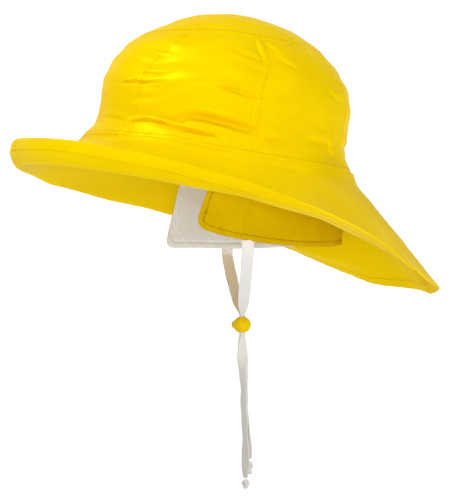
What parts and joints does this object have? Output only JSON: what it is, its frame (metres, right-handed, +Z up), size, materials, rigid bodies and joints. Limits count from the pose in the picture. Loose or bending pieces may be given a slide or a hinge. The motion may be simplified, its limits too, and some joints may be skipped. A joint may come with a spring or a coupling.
{
  "type": "sou'wester hat",
  "caption": "Yellow coated-cloth rain hat with a panelled crown, long sloping back brim with a turned-up front edge, lined neck flap, and chin tapes held by a sprung cord lock.",
  "frame": {"origin": "middle of the head opening at the seam between crown and brim, where the hat sits on a head", "axes": "+Z up as the hat is worn, front of the hat towards -Y, wearer's left towards +X"},
  "size_m": [0.3228, 0.3555, 0.3887],
  "materials": {
    "shell": "satin coated cloth",
    "lining": "matt cotton",
    "tape": "matt cotton twill tape",
    "lock": "satin moulded"
  },
  "bodies": {
    "hat": {"crown_front": "shell", "crown_left_front": "shell", "crown_left_back": "shell", "crown_back": "shell", "crown_right_back": "shell", "crown_right_front": "shell", "crown_tip": "shell", "brim_left": "shell", "brim_right": "shell", "neck_flap_shell": "shell", "neck_flap_lining": "lining", "tape_left": "tape", "tape_right": "tape", "knot_left": "tape", "knot_right": "tape", "cord_lock_barrel": "lock"},
    "lock_plunger": {"cord_lock_plunger": "lock"}
  },
  "joints": [
    {"name": "lock_plunger_press", "type": "slide", "parent": "hat", "child": "lock_plunger", "axis": [0.9205, 0.3907, 0], "range_m": [0, 0.0016], "stiffness_N_per_m": 500, "springref_m": -0.002}
  ]
}
